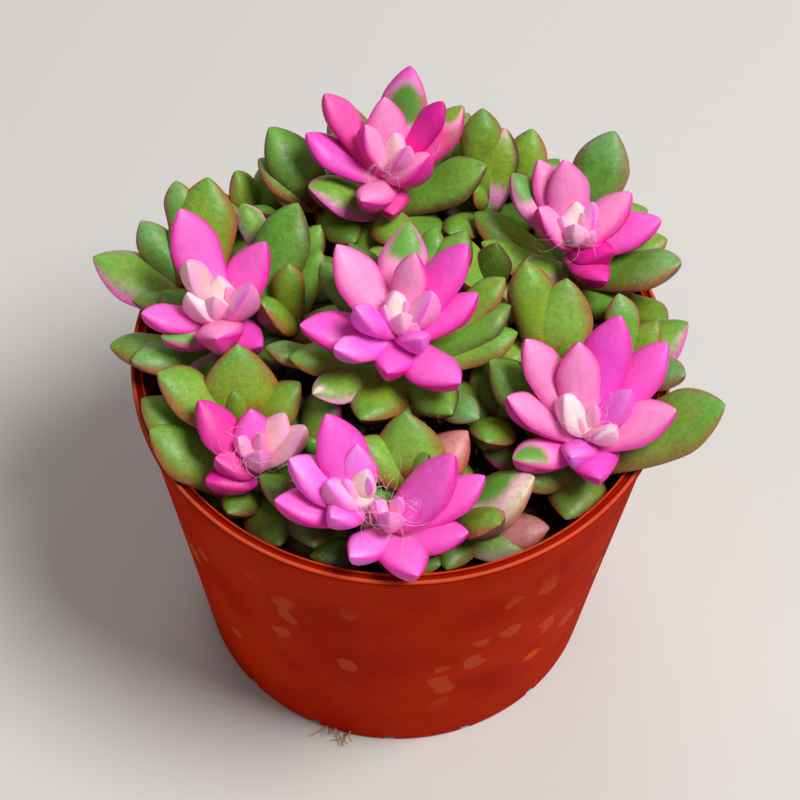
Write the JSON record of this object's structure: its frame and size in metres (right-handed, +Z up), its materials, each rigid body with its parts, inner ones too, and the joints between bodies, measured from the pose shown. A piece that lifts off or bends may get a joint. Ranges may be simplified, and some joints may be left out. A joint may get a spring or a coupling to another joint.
{
  "type": "potted sunrise succulent",
  "caption": "Pink and green rosette succulents crowded in a small round plastic nursery pot filled with soil.",
  "frame": {"origin": "centre of the pot's base, on the surface it stands on", "axes": "+Z up along the pot's axis, -Y towards the side with the most pink leaves"},
  "size_m": [0.103, 0.0952, 0.0989],
  "materials": {
    "pot_plastic": "semi-gloss thin red-brown plastic",
    "soil": "matt dark potting soil with pale grit",
    "pink_leaf": "satin fleshy leaf, pink to magenta",
    "green_leaf": "satin fleshy leaf, olive to emerald green"
  },
  "bodies": {
    "root": {"pot": "pot_plastic", "soil": "soil", "rosette_back": "pink_leaf", "rosette_back_right": "pink_leaf", "rosette_centre": "pink_leaf", "rosette_left": "pink_leaf", "rosette_right": "pink_leaf", "rosette_front": "pink_leaf", "rosette_left_front": "pink_leaf", "greens_back": "green_leaf", "greens_back_right": "green_leaf", "greens_centre": "green_leaf", "greens_left": "green_leaf", "greens_right": "green_leaf", "greens_front": "green_leaf", "greens_left_front": "green_leaf", "shoot_west": "green_leaf", "shoot_northwest": "green_leaf", "shoot_north_left": "green_leaf", "shoot_north_right": "green_leaf", "shoot_northeast": "green_leaf", "shoot_east": "green_leaf", "shoot_inner_east": "green_leaf", "shoot_inner_south": "green_leaf", "shoot_inner_west": "green_leaf", "shoot_southwest": "green_leaf", "shoot_southeast": "green_leaf", "shoot_south_left": "green_leaf", "shoot_inner_southwest": "green_leaf", "shoot_inner_southeast": "green_leaf", "shoot_inner_north": "green_leaf", "shoot_inner_northeast": "green_leaf", "shoot_rear_left": "green_leaf", "shoot_rear_mid_left": "green_leaf", "shoot_rear_mid_right": "green_leaf", "shoot_rear_right": "green_leaf", "shoot_rear_east": "green_leaf"}
  },
  "joints": []
}
